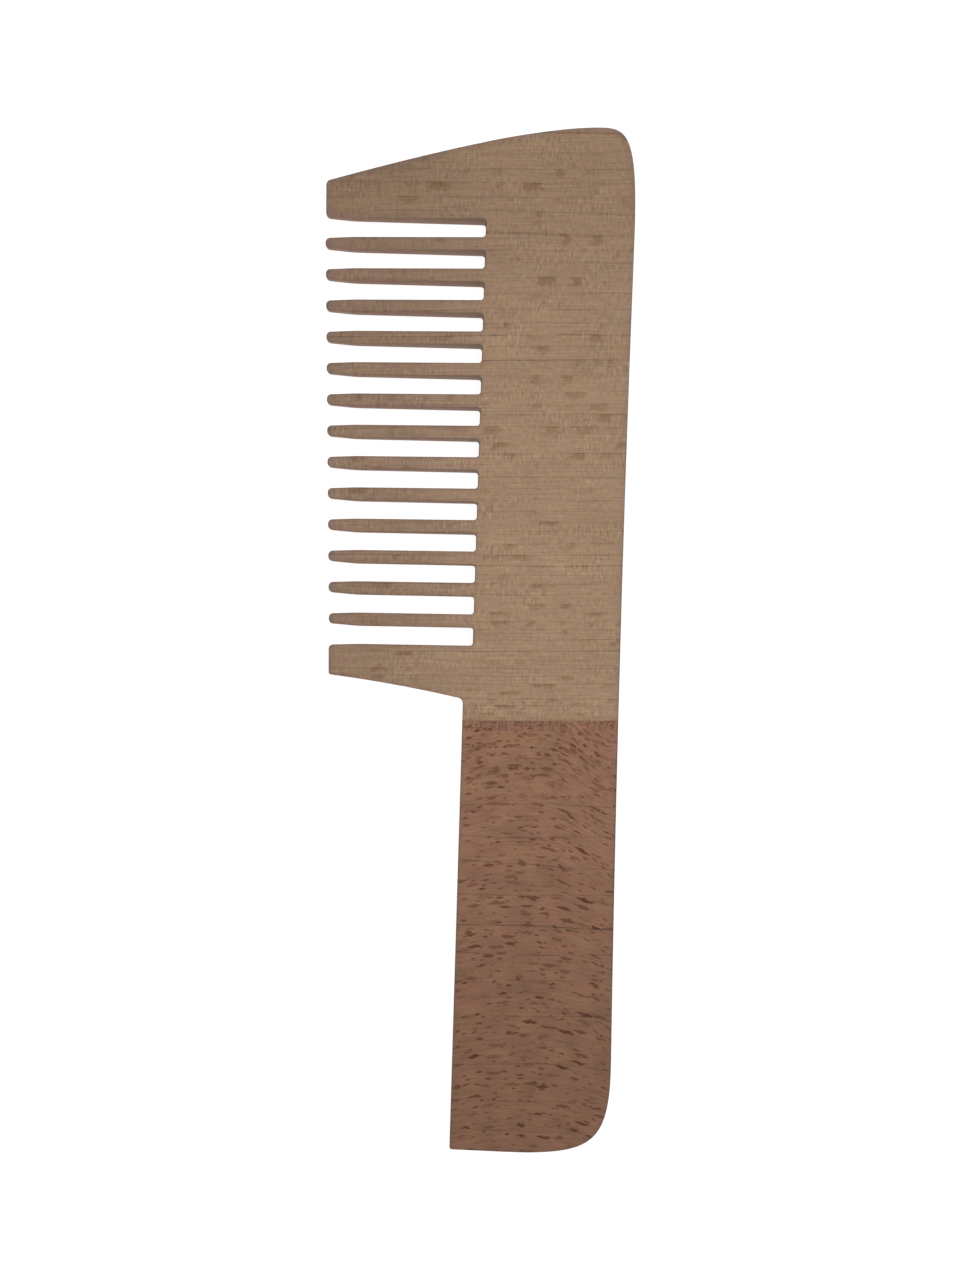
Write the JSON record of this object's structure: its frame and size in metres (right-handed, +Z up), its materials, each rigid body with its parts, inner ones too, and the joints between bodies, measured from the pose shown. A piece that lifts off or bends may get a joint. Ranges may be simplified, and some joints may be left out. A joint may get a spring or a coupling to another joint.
{
  "type": "beard comb",
  "caption": "Flat wooden comb with a plain handle, wide guard teeth at both ends of its row, and a two-tone glued panel.",
  "frame": {"origin": "centre of the bounding box in X and Y, at the underside that the comb lies on", "axes": "+X from the tooth tips to the back edge, +Y from the handle's end to the top of the head, +Z up through the thickness"},
  "size_m": [0.0546, 0.18, 0.0052],
  "materials": {
    "pale_beech": "sanded, unvarnished",
    "dark_beech": "sanded, unvarnished",
    "wood_glue": "cured wood glue"
  },
  "bodies": {
    "root": {"head_board": "pale_beech", "handle_board": "dark_beech", "glue_line": "wood_glue"}
  },
  "joints": []
}
